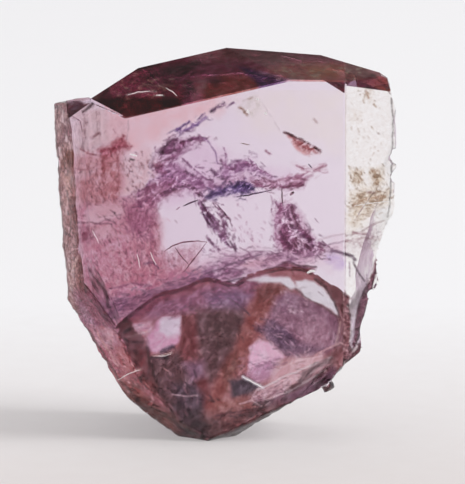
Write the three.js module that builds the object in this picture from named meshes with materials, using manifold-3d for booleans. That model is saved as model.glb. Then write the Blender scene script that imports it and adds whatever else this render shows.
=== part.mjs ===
// Magnesio-axinite: one loose, gem-clear crystal, standing on its broken foot.
// Millimetres, +Z up, seen from -Y. The origin is under the middle of its box, on the surface it stands on.
//
// The crystal is a block bounded by flat growth faces and by hackly breaks. It is cut out of a plain
// block, face by face, and then chipped: shell-shaped scars low on the front, small chips along thin edges.
// Corners are given as fractions of the three driving dimensions: from the left, from the front and up.
import * as THREE from "three";
import { mergeVertices } from "three/addons/utils/BufferGeometryUtils.js";
import Module from "manifold-3d";

// Driving dimensions
const width = 13.6; // left break to the thin right edge
const depth = 6.6; // front face to the back of the left shoulder
const height = 15.5; // foot to the peak of the ridge

// Surface of the breaks
const breakCell = 0.42; // spacing of the points on a hackly break
const hackle = 0.17; // how far a break rises and falls
const hackleSize = 1.6; // width of its larger lumps
const scarCell = 0.4; // spacing of the points on a shell-shaped scar
const scarRipple = 0.04; // height of the rings that spread over a scar
const scarRippleSpacing = 1.7;

const crystalColour = 0xc9a5c6;
const crystalRoughness = 0.04;
const crystalOpacity = 0.6;

const at = (across, back, up) => new THREE.Vector3(across * width, back * depth, up * height);

// Corners that more than one face shares
const ridgePeak = at(0.506, 0.561, 1);
const ridgeLeft = at(0.247, 0.561, 0.947);
const ridgeRight = at(0.782, 0.446, 0.991);
const ridgeEnd = at(0.941, 0.164, 0.971);
const valleyFront = at(0.215, 0, 0.865);
const windowTop = at(0.691, 0, 0.962);
const stripTop = at(0.85, 0, 0.96);
const ledgeFront = at(0.109, 0, 0.915);
const ledgeBack = at(0.111, 0.303, 0.889);
const ledgeEnd = at(0.008, 0.16, 0.887);
const leftGirdleTop = at(0.006, 0.16, 0.834);
const leftGirdleFoot = at(0.046, 0.2, 0.364);
const lowerLeftGirdle = at(0.214, 0.3, 0.102);
const lowerRightGirdle = at(0.884, 0.093, 0.236);
const backLowLeft = at(0.374, 0.9, 0.351);
const backLowMiddle = at(0.647, 0.741, 0.39);
const backLowPoint = at(0.465, 0.8, 0.03);
const footFront = at(0.438, 0.155, 0);
const footFrontRight = at(0.51, 0.288, 0);

// Growth faces are flat. Each is given by three of its points.
const growthFaces = {
  front: [at(0, 0, 0), at(1, 0, 0), at(0, 0, 1)],
  rightBevel: [stripTop, at(0.85, 0, 0), at(0.941, 0.075, 0.5)],
  topRight: [windowTop, stripTop, ridgePeak],
  topBackRight: [ridgePeak, ridgeRight, at(0.537, 0.97, 0.871)],
  topRightCorner: [ridgeRight, ridgeEnd, at(0.882, 0.636, 0.858)],
  topBackLeft: [ridgeLeft, ridgePeak, at(0.375, 0.97, 0.9)],
  back: [at(0.169, 1, 0.516), at(0.816, 0.636, 0.516), at(0.169, 0.97, 0.839)],
  lowerBack: [backLowLeft, backLowMiddle, backLowPoint],
  lowerBackRight: [backLowMiddle, at(0.829, 0.644, 0.316), backLowPoint],
};

// Breaks are hackly: at the left end, along the right edge and round the foot.
const breaks = {
  leftFront: [at(0.056, 0, 0.78), at(0.088, 0, 0.406), leftGirdleTop],
  leftBack: [leftGirdleTop, leftGirdleFoot, at(0.088, 0.909, 0.581)],
  rightEdge: [at(0.997, 0.2, 0.83), at(0.997, 0.45, 0.7), at(0.9965, 0.3, 0.6)],
  rightShoulder: [at(0.935, 0.152, 0.975), at(0.974, 0.152, 0.95), at(0.935, 0.303, 0.975)],
  rightShoulderEnd: [at(0.974, 0.182, 0.951), at(0.997, 0.242, 0.877), at(0.974, 0.333, 0.951)],
  rightLower: [at(0.982, 0.174, 0.603), lowerRightGirdle, at(0.854, 0, 0.362)],
  footRightEnd: [lowerRightGirdle, at(0.785, 0.636, 0.096), at(0.882, 0.466, 0.202)],
  footLeftFront: [leftGirdleFoot, lowerLeftGirdle, at(0.162, 0, 0.34)],
  footLeftBack: [leftGirdleFoot, lowerLeftGirdle, at(0.191, 1, 0.297)],
  footFrontLeft: [lowerLeftGirdle, at(0.376, 0.273, 0.001), at(0.285, 0.091, 0.155)],
  footBackLeft: [lowerLeftGirdle, at(0.365, 0.29, 0), at(0.318, 0.74, 0)],
  footFrontRight: [footFront, footFrontRight, at(0.487, 0.042, 0.0425)],
  footRight: [at(0.543, 0.182, 0.009), at(0.852, 0.182, 0.199), at(0.852, 0.6, 0.196)],
  footBack: [at(0.535, 0.7, 0), at(0.45, 0.8, 0), at(0.72, 0.8, 0.06)],
};

// Shell-shaped scars in the front face: the middle of each, how far it spreads from there, how deep it is
// there, and the point it was struck from.
const scars = [
  { middle: at(0.471, 0, 0.136), spread: 4.72, hollow: 1.1, struck: at(0.2, 0, 0.2) },
  { middle: at(0.676, 0, 0.287), spread: 2.9, hollow: 0.95, struck: at(0.9, 0, 0.3) },
];

// A point well inside the crystal: every face has it on its inner side.
const heart = at(0.5, 0.25, 0.5);

const wasm = await Module();
wasm.setup();

function solidOf(geometry) {
  const bare = geometry.index ? geometry.toNonIndexed() : geometry.clone();
  bare.deleteAttribute("normal");
  bare.deleteAttribute("uv");
  const closed = mergeVertices(bare, 1e-5);
  return new wasm.Manifold(
    new wasm.Mesh({
      numProp: 3,
      vertProperties: new Float32Array(closed.attributes.position.array),
      triVerts: new Uint32Array(closed.index.array),
    }),
  );
}

// A repeatable number from 0 to 1 for each whole-numbered place.
function scatter(i, j, k) {
  const mixed = Math.sin(i * 127.1 + j * 311.7 + k * 74.7) * 43758.5453;
  return mixed - Math.floor(mixed);
}

// Smooth lumps from 0 to 1, one to each unit of u and v.
function lumps(u, v, seed) {
  const i = Math.floor(u);
  const j = Math.floor(v);
  const s = THREE.MathUtils.smoothstep(u - i, 0, 1);
  const t = THREE.MathUtils.smoothstep(v - j, 0, 1);
  const near = THREE.MathUtils.lerp(scatter(i, j, seed), scatter(i + 1, j, seed), s);
  const far = THREE.MathUtils.lerp(scatter(i, j + 1, seed), scatter(i + 1, j + 1, seed), s);
  return THREE.MathUtils.lerp(near, far, t);
}

// Creased lumps: sharp crests between shallow bowls, as on a hackly break.
function hackles(u, v, seed) {
  const crest = (size, n) => 1 - Math.abs(2 * lumps(u / size, v / size, n) - 1);
  return 0.65 * crest(hackleSize, seed) + 0.35 * crest(hackleSize / 2.3, seed + 1) - 0.5;
}

// All the space beyond a face, as a block that leaves the point "inside" alone. With a seed, its near side
// has the relief of a break.
function beyond(points, seed, inside = heart) {
  const reach = 1.6 * height;
  const cells = seed === undefined ? 1 : Math.round(reach / breakCell);
  const block = new THREE.BoxGeometry(reach, reach, reach, cells, cells, 1);
  block.translate(0, 0, reach / 2);
  const corners = block.attributes.position;
  for (let i = 0; i < corners.count; i++) {
    if (seed === undefined || corners.getZ(i) > reach / 2) continue;
    corners.setZ(i, hackle * hackles(corners.getX(i) + reach, corners.getY(i) + reach, seed));
  }
  const plane = new THREE.Plane().setFromCoplanarPoints(...points);
  if (plane.distanceToPoint(inside) > 0) plane.negate();
  const turn = new THREE.Quaternion().setFromUnitVectors(new THREE.Vector3(0, 0, 1), plane.normal);
  const middle = points[0].clone().add(points[1]).add(points[2]).divideScalar(3);
  block.applyQuaternion(turn).translate(middle.x, middle.y, middle.z);
  return solidOf(block);
}

// The plain block, cut back to the growth faces and the breaks that stand outside all the others.
function cutOutside() {
  const blank = new THREE.BoxGeometry(1.2 * width, 1.2 * depth, 1.2 * height);
  blank.translate(0.5 * width, 0.5 * depth, 0.6 * height);
  let solid = solidOf(blank);
  for (const points of Object.values(growthFaces)) solid = solid.subtract(beyond(points));
  Object.values(breaks).forEach((points, n) => {
    solid = solid.subtract(beyond(points, 10 * n + 1));
  });
  return solid;
}

// The long top-left slope and the broken ledge at the left end meet in a valley.
function cutTopLeft(solid) {
  const slope = beyond([valleyFront, windowTop, ridgePeak]);
  const slopeBack = beyond([ridgeLeft, ledgeBack, at(0.103, 0.97, 0.825)]);
  const ledge = beyond([ledgeFront, ledgeBack, ledgeEnd], 201);
  const ledgeSide = beyond([valleyFront, ledgeFront, ledgeBack]);
  const ledgeRear = beyond([ledgeBack, ledgeEnd, at(0.059, 0.606, 0.781)], 211);
  return solid.subtract(slope.add(slopeBack).intersect(ledge.add(ledgeSide).add(ledgeRear)));
}

// The right-hand strip is a thin plate below the top faces: a growth step on the back takes it down.
function cutRightStep(solid) {
  const stepFoot = at(0.849, 0.064, 0.516);
  const stepFootHigh = at(0.849, 0.064, 0.8);
  const withinStrip = at(0.9, 0.073, 0.516);
  const stripBack = beyond([stepFoot, stepFootHigh, at(0.998, 0.187, 0.516)], undefined, withinStrip);
  const stepFace = beyond([stepFoot, stepFootHigh, at(0.849, 0.7, 0.516)]);
  const roofEdge = at(0.849, 0.064, 0.943);
  const stepRoof = beyond([roofEdge, at(0.849, 0.7, 0.943), at(1, 0.35, 0.915)], undefined, ridgeEnd);
  return solid.subtract(stripBack.intersect(stepFace).intersect(stepRoof));
}

// The ball that leaves a scar: shallow, with rings that spread from where it was struck.
function scarBall({ middle, spread, hollow, struck }, seed) {
  const radius = (spread ** 2 + hollow ** 2) / (2 * hollow);
  const centre = new THREE.Vector3(middle.x, middle.y + hollow - radius, middle.z);
  const ball = new THREE.IcosahedronGeometry(radius, Math.round((1.05 * radius) / scarCell));
  ball.translate(centre.x, centre.y, centre.z);
  const skin = ball.attributes.position;
  const p = new THREE.Vector3();
  for (let i = 0; i < skin.count; i++) {
    p.fromBufferAttribute(skin, i);
    const rings = Math.cos((2 * Math.PI * p.distanceTo(struck)) / scarRippleSpacing);
    const swell = 2 * lumps(p.x + 20, p.z + 20, seed) - 1;
    const outwards = p.clone().sub(centre).normalize();
    p.addScaledVector(outwards, scarRipple * (rings + swell));
    skin.setXYZ(i, p.x, p.y, p.z);
  }
  return solidOf(ball);
}

// A bite out of a thin edge: a small lumpy ball.
function chip(middle, radius, seed) {
  const ball = new THREE.IcosahedronGeometry(radius, 3);
  const skin = ball.attributes.position;
  const p = new THREE.Vector3();
  for (let i = 0; i < skin.count; i++) {
    p.fromBufferAttribute(skin, i);
    p.multiplyScalar(0.85 + 0.3 * lumps(3 * p.x + 9, 3 * (p.y + p.z) + 9, seed));
    skin.setXYZ(i, p.x, p.y, p.z);
  }
  ball.translate(middle.x, middle.y, middle.z);
  return solidOf(ball);
}

const chips = [
  [at(1.012, 0.155, 0.749), 0.42],
  [at(1.018, 0.155, 0.699), 0.45],
  [at(0.99, 0.15, 0.559), 0.35],
  [at(0.935, 0.1, 0.393), 0.3],
  [at(-0.012, 0.16, 0.736), 0.4],
  [at(0.0, 0.18, 0.578), 0.35],
  [at(0.06, 0.26, 0.294), 0.45],
  [at(0.13, 0.28, 0.192), 0.35],
];

// A second, tiny crystal has grown onto the lower right edge.
function sideCrystal() {
  const stub = new THREE.OctahedronGeometry(0.6);
  stub.scale(0.9, 0.8, 0.85).rotateZ(0.5).rotateY(0.3);
  const place = at(0.8, 0.273, 0.139);
  stub.translate(place.x, place.y, place.z);
  return solidOf(stub);
}

let crystal = cutRightStep(cutTopLeft(cutOutside()));
scars.forEach((scar, n) => {
  crystal = crystal.subtract(scarBall(scar, 300 + n));
});
chips.forEach(([middle, radius], n) => {
  crystal = crystal.subtract(chip(middle, radius, 400 + n));
});
crystal = crystal.add(sideCrystal());

// The surface of the finished solid, moved so that the origin is under the middle of its box.
function surfaceOf(solid) {
  const { vertProperties, triVerts, numProp } = solid.getMesh();
  const points = new THREE.InterleavedBuffer(vertProperties, numProp);
  const geometry = new THREE.BufferGeometry();
  geometry.setAttribute("position", new THREE.InterleavedBufferAttribute(points, 3, 0));
  geometry.setIndex(new THREE.BufferAttribute(triVerts, 1));
  const faceted = geometry.toNonIndexed();
  faceted.computeBoundingBox();
  const { min, max } = faceted.boundingBox;
  faceted.translate(-(min.x + max.x) / 2, -(min.y + max.y) / 2, -min.z);
  faceted.computeVertexNormals();
  return faceted;
}

const crystalMesh = new THREE.Mesh(
  surfaceOf(crystal),
  new THREE.MeshStandardMaterial({
    color: crystalColour,
    roughness: crystalRoughness,
    metalness: 0,
    transparent: true,
    opacity: crystalOpacity,
    flatShading: true,
  }),
);
crystalMesh.name = "crystal";

const group = new THREE.Group();
group.add(crystalMesh);

export default group;
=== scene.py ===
import math
import random

import bmesh
import bpy
import numpy as np
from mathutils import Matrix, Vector, noise
from mathutils.bvhtree import BVHTree


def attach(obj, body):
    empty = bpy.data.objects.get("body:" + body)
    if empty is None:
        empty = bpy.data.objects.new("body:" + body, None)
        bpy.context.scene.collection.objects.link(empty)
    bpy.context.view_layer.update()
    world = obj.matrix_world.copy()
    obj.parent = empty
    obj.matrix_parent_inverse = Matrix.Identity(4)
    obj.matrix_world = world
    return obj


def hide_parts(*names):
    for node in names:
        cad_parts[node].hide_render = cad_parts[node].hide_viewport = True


bl_info = {
    "name": "Magnesio-axinite crystal",
    "version": (1, 0, 0),
    "blender": (4, 5, 0),
    "location": "3D View > Sidebar > Crystal",
    "description": "Builds a gem-clear axinite crystal with its inner veils on the packed solid",
    "category": "Add Mesh",
}

MM = 0.001
AIM = Vector((0.3, -0.424, 7.733)) * MM  # the middle of the picture
SKETCH_MIDDLE = (232.5, 242)  # the same place in the sketch of the veils, in its steps

# Bounds of the groups of faces

FRONT_Y = -3.395 * MM
TOP_Z = 12 * MM
STRIP_X = 4.7 * MM
STRIP_Z = 3 * MM
LEFT_Z = 4.8 * MM
SCAR_Z = 8 * MM
FOOT_Z = 6.5 * MM
GROWTH_FACE_AREA = 0.9 * MM * MM  # every facet of a break is smaller

# Lights: place and size in metres, power in watts

KEY_PLACE = (0.40, -0.096, 0.304)
KEY_AIM = (0, 0, 0.006)
KEY_SIZE = 0.26
KEY_POWER = 1.30
FILL_PLACE = (-0.04, 0.05, 0.50)
FILL_AIM = (0, 0.04, 0.0)
FILL_SIZE = 0.60
FILL_POWER = 1.85
FLOOR_RADIUS = 1.6
SENSOR = 36  # width of the camera's sensor in millimetres

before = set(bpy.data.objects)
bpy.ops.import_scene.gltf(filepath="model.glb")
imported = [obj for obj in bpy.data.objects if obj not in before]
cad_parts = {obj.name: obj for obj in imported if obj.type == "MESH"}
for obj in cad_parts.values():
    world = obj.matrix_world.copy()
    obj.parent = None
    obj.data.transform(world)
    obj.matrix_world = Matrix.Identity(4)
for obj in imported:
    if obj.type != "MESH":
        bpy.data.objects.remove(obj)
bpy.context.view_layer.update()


# Settings


class CrystalSettings(bpy.types.PropertyGroup):
    """Colours and sizes of the crystal itself"""

    refraction: bpy.props.FloatProperty(
        name="Refractive index",
        description="How strongly the crystal bends light",
        default=1.67,
        min=1.0,
        max=2.5,
    )
    absorption: bpy.props.FloatVectorProperty(
        name="Absorption",
        description="Light lost in red, green and blue, for each metre inside the crystal",
        size=3,
        default=(46.0, 78.0, 50.0),
        min=0.0,
    )
    gloss: bpy.props.FloatVectorProperty(
        name="Gloss",
        description="Tint of what the faces mirror",
        size=3,
        subtype="COLOR",
        default=(0.5, 0.45, 0.48),
    )
    hackle: bpy.props.FloatProperty(
        name="Hackle", description="Height of the fine relief on the breaks", default=0.035 * MM, unit="LENGTH"
    )


class VeilSettings(bpy.types.PropertyGroup):
    """How the veils, stains and cracks inside the crystal are drawn, and the colour of the glowing painted
    glints
    """

    step: bpy.props.FloatProperty(
        name="Sketch step", description="Size of one step of the sketch", default=0.04 * MM, unit="LENGTH"
    )
    # Colour of the painted glints: white strips that glow inside the crystal
    painted_glint: bpy.props.FloatVectorProperty(
        name="Sliver colour",
        description="Colour of the white slivers",
        size=3,
        subtype="COLOR",
        default=(0.9, 0.88, 0.88),
    )


class StageSettings(bpy.types.PropertyGroup):
    """Camera, floor and light"""

    elevation: bpy.props.FloatProperty(
        name="Camera elevation",
        description="Angle above the horizon",
        default=math.radians(12),
        subtype="ANGLE",
    )
    distance: bpy.props.FloatProperty(
        name="Camera distance", description="From the crystal to the camera", default=0.3, unit="LENGTH"
    )
    field: bpy.props.FloatProperty(
        name="Field height",
        description="Height of the picture at the crystal",
        default=19.36 * MM,
        unit="LENGTH",
    )


# The sketch of the veils. Places are in steps across from the left and down from the top, as seen from the
# front. Colours are as seen there too, in red, green and blue up to 255. Later marks lie over earlier ones.
# A patch is (colour, cover, softness, outline), a stroke is (colour, cover, width, line), and flecks are
# (colour, cover, count, spread, length, width, line): short strokes scattered along a line. A grain is
# (size, stretch, turn, least, most): the texture that thins and thickens the whole veil.

# Painted shade on the top facets: the dark red-brown patches, strokes and flecks stand in for the dark
# reflections and long paths seen through these faces
TOP = {
    "name": "top_stain",
    "depth": 0.12,
    "faces": "top",
    "ground": (160, 130, 152),
    "frame": (54, 44, 396, 124),
    "spacing": 1.1,
    "grain": (4200, 0.4, 12, 0.6, 1.15),
    "milk": 0.25,
    "wander": 2.5,
    "patches": [
        ((116, 52, 78), 1.0, 2, [(50, 90), (120, 60), (190, 40), (200, 104), (128, 126), (50, 130)]),
        ((138, 84, 104), 1.0, 2, [(186, 40), (400, 50), (400, 100), (300, 90), (262, 98), (194, 112)]),
        ((116, 78, 84), 0.9, 3, [(56, 98), (100, 96), (104, 104), (84, 110), (56, 110)]),
        ((116, 54, 82), 0.9, 5, [(150, 76), (190, 62), (262, 60), (262, 74), (215, 76), (186, 84)]),
        ((60, 16, 20), 1.0, 3, [(94, 101), (110, 96), (150, 97), (184, 97), (184, 112), (128, 124),
                                (96, 108)]),
        ((92, 34, 42), 0.8, 3, [(112, 104), (128, 104), (136, 112), (126, 118)]),
        ((112, 62, 76), 0.9, 3, [(222, 46), (345, 52), (352, 63), (322, 60), (290, 62), (240, 60),
                                 (224, 56)]),
        ((146, 88, 100), 0.95, 4, [(268, 68), (300, 62), (345, 64), (378, 75), (345, 82), (305, 80),
                                   (282, 76)]),
        ((152, 98, 98), 0.8, 4, [(306, 66), (340, 66), (343, 74), (336, 78), (312, 76)]),
        ((112, 66, 78), 1.0, 1.5, [(344, 58), (376, 74), (346, 88)]),
        ((160, 130, 152), 1.0, 1.5, [(346, 88), (376, 77), (392, 84), (392, 100), (346, 98)]),
        ((120, 62, 66), 1.0, 3, [(202, 99), (206, 85), (220, 77), (244, 75), (256, 80), (258, 88),
                                 (236, 95)]),
        ((72, 38, 82), 0.9, 2, [(240, 67), (262, 72), (292, 82), (260, 90), (254, 79), (246, 73)]),
        ((60, 34, 42), 0.8, 4, [(208, 80), (216, 75), (222, 82), (214, 88)]),
        ((60, 42, 58), 0.8, 4, [(184, 86), (192, 84), (196, 94), (186, 98)]),
        ((60, 30, 38), 0.8, 3, [(140, 76), (150, 70), (158, 74), (148, 82)]),
        ((76, 46, 56), 0.8, 3, [(160, 70), (176, 66), (196, 60), (206, 64), (186, 72), (170, 76)]),
    ],
    "strokes": [
        ((76, 26, 50), 0.8, 2.2, [(92, 104), (128, 120), (180, 108), (225, 98), (258, 90), (290, 83),
                                  (345, 84), (375, 75)]),
        ((136, 96, 124), 0.7, 2.5, [(260, 71), (285, 79), (300, 81)]),
        ((60, 24, 30), 0.8, 3.0, [(100, 98), (116, 82), (132, 71), (160, 64)]),
        ((84, 52, 56), 0.8, 2.0, [(372, 74), (380, 78), (386, 84)]),
        ((156, 126, 144), 0.9, 1.5, [(126, 95), (134, 93), (146, 91), (156, 91)]),
        ((156, 126, 144), 0.9, 1.6, [(154, 95), (164, 95)]),
        ((150, 110, 124), 0.9, 1.3, [(158, 84), (166, 88), (172, 91), (177, 96)]),
        ((146, 104, 118), 0.8, 1.1, [(138, 86), (148, 84), (160, 86)]),
    ],
    "flecks": [
        ((50, 20, 28), 0.5, 60, 18, 5, 1.4, [(120, 88), (180, 76), (204, 66)]),
        ((150, 108, 116), 0.6, 40, 14, 4, 1.0, [(112, 90), (150, 84), (180, 82)]),
        ((120, 76, 90), 0.5, 60, 12, 4, 1.3, [(210, 66), (250, 62), (280, 64)]),
        ((126, 78, 88), 0.5, 70, 12, 4, 1.3, [(275, 68), (320, 72), (366, 75)]),
        ((160, 128, 138), 0.5, 50, 10, 4, 1.0, [(275, 70), (320, 72), (360, 75)]),
    ],
}

HAZE = {
    "name": "deep_haze",
    "depth": 2.1,
    "faces": "front",
    "ground": (213, 199, 212),
    "frame": (66, 92, 348, 336),
    "spacing": 2.2,
    "grain": (1500, 0.3, 35, 0.7, 1.3),
    "wander": 8,
    "patches": [
        ((210, 172, 180), 0.9, 12, [(104, 100), (200, 96), (232, 98), (176, 132), (140, 156), (104, 140)]),
        ((204, 178, 184), 0.8, 10, [(66, 96), (104, 104), (120, 150), (150, 205), (70, 205)]),
        ((190, 148, 160), 0.9, 9, [(72, 150), (124, 146), (132, 196), (150, 200), (160, 236), (166, 262),
                                   (204, 268), (204, 300), (150, 330), (84, 325)]),
        ((200, 170, 188), 0.8, 7, [(185, 256), (232, 252), (322, 246), (345, 236), (345, 262), (300, 270),
                                   (210, 282)]),
        ((204, 178, 200), 0.8, 8, [(150, 175), (165, 145), (200, 136), (236, 160), (300, 172), (300, 186),
                                   (240, 196), (200, 196), (150, 204)]),
        ((214, 200, 204), 0.8, 12, [(236, 92), (345, 84), (345, 150), (300, 140), (250, 130)]),
    ],
    "strokes": [],
    "flecks": [],
}

LEFT = {
    "name": "left_stain",
    "depth": 0.42,
    "faces": "front",
    "ground": (213, 199, 212),
    "frame": (66, 96, 212, 336),
    "spacing": 1.0,
    "grain": (5600, 0.3, 75, 0.35, 1.7),
    "wander": 3.5,
    "patches": [
        ((188, 164, 170), 0.7, 5, [(74, 106), (104, 106), (106, 150), (74, 152)]),
        ((198, 158, 166), 0.6, 5, [(106, 110), (128, 122), (128, 146), (108, 148)]),
        ((184, 142, 150), 0.8, 5, [(74, 156), (102, 158), (102, 204), (76, 206)]),
        ((170, 112, 120), 0.9, 4, [(100, 150), (118, 148), (124, 178), (120, 202), (100, 204)]),
        ((148, 70, 86), 0.9, 3, [(97, 151), (108, 145), (118, 137), (125, 137), (130, 147), (118, 153),
                                 (102, 158)]),
        ((162, 104, 112), 0.7, 4, [(78, 180), (100, 176), (102, 198), (80, 202)]),
        ((196, 160, 168), 0.7, 5, [(122, 158), (148, 150), (156, 186), (138, 202), (122, 200)]),
        ((176, 120, 138), 0.95, 5, [(76, 206), (124, 200), (150, 204), (160, 228), (160, 246), (168, 262),
                                    (202, 270), (202, 300), (150, 326), (86, 322)]),
        ((150, 92, 120), 0.8, 5, [(124, 200), (146, 198), (156, 214), (150, 240), (132, 236), (124, 216)]),
        ((134, 76, 98), 0.8, 3, [(80, 226), (94, 226), (98, 236), (90, 244), (80, 240)]),
        ((224, 210, 216), 0.95, 4, [(84, 216), (95, 206), (108, 203), (120, 205), (123, 213), (112, 221),
                                    (96, 223)]),
        ((196, 168, 176), 0.7, 3, [(92, 226), (112, 226), (116, 236), (100, 242)]),
        ((164, 106, 132), 0.9, 6, [(86, 300), (139, 284), (185, 272), (204, 274), (204, 298), (160, 312),
                                   (95, 326)]),
        ((172, 110, 128), 0.7, 6, [(120, 262), (160, 258), (166, 284), (130, 292)]),
        ((176, 128, 146), 0.7, 4, [(162, 256), (176, 248), (200, 244), (196, 262), (180, 270), (164, 268)]),
    ],
    "strokes": [
        ((150, 122, 130), 0.7, 2.2, [(83, 112), (84, 130), (82, 150)]),
        ((166, 140, 146), 0.7, 2.0, [(91, 112), (92, 128)]),
        ((160, 130, 138), 0.7, 1.8, [(99, 112), (100, 140)]),
        ((222, 208, 210), 0.85, 5, [(90, 112), (91, 132), (90, 146)]),
        ((222, 208, 210), 0.8, 4, [(101, 112), (102, 140)]),
        ((214, 200, 206), 0.8, 7, [(78, 122), (77, 142)]),
        ((150, 122, 130), 0.7, 1.2, [(96, 110), (97, 134)]),
        ((150, 120, 128), 0.7, 1.2, [(84, 112), (85, 136)]),
        ((226, 212, 218), 0.95, 9, [(90, 214), (104, 209), (118, 212)]),
        ((222, 206, 214), 0.9, 6, [(86, 221), (98, 221)]),
        ((214, 190, 202), 0.8, 5, [(96, 231), (108, 229)]),
        ((122, 74, 96), 0.8, 1.6, [(110, 210), (115, 214)]),
        ((122, 74, 96), 0.7, 1.4, [(96, 224), (106, 220), (116, 224)]),
        ((226, 206, 218), 0.8, 1.2, [(88, 238), (98, 232), (104, 226)]),
        ((128, 84, 94), 0.85, 3.4, [(91, 138), (98, 133)]),
        ((60, 26, 34), 0.95, 3.2, [(84, 111), (92, 104)]),
        ((134, 50, 70), 0.8, 2.2, [(98, 152), (110, 148), (124, 147), (132, 145)]),
        ((136, 52, 70), 0.8, 2.4, [(113, 150), (119, 142), (124, 136)]),
        ((142, 80, 92), 0.85, 1.8, [(80, 148), (88, 153), (100, 156)]),
        ((150, 88, 98), 0.8, 1.4, [(78, 170), (92, 168), (104, 164), (118, 160)]),
        ((140, 72, 80), 0.7, 3.0, [(103, 156), (104, 178), (101, 196)]),
        ((146, 78, 88), 0.7, 2.6, [(117, 158), (119, 180), (117, 198)]),
        ((170, 140, 148), 0.6, 1.2, [(128, 120), (127, 140)]),
        ((50, 26, 32), 0.95, 2.2, [(131, 158), (134, 159)]),
        ((96, 56, 66), 0.8, 1.8, [(131, 171), (133, 172)]),
        ((92, 56, 70), 0.7, 1.8, [(114, 213), (117, 217)]),
        ((120, 70, 90), 0.8, 1.8, [(78, 223), (92, 222), (112, 225)]),
        ((116, 70, 100), 0.8, 2.4, [(144, 264), (152, 262), (158, 268)]),
        ((120, 66, 100), 0.6, 2.0, [(110, 288), (130, 284), (150, 286)]),
        ((76, 40, 62), 0.85, 1.8, [(160, 311), (170, 306), (178, 305)]),
    ],
    "flecks": [
        ((120, 66, 84), 0.45, 260, 46, 3.4, 1.3, [(110, 226), (124, 262), (120, 300)]),
        ((206, 168, 182), 0.5, 190, 44, 3.6, 1.1, [(104, 236), (116, 270), (130, 300)]),
        ((112, 60, 90), 0.4, 120, 20, 6, 1.5, [(96, 316), (150, 300), (200, 284)]),
        ((136, 74, 82), 0.45, 150, 22, 3.6, 1.3, [(104, 150), (108, 200)]),
        ((214, 184, 190), 0.45, 70, 22, 3, 1.1, [(106, 156), (108, 198)]),
        ((124, 80, 92), 0.5, 60, 18, 3.2, 1.2, [(86, 160), (88, 204)]),
        ((150, 110, 120), 0.6, 60, 18, 3, 1.7, [(132, 156), (138, 200)]),
        ((158, 130, 138), 0.5, 40, 14, 3, 1.4, [(86, 112), (86, 150)]),
        ((110, 68, 84), 0.5, 40, 18, 3, 1.2, [(90, 212), (118, 212)]),
        ((130, 70, 96), 0.5, 90, 14, 4, 1.4, [(134, 202), (146, 236), (150, 262)]),
    ],
}

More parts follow.
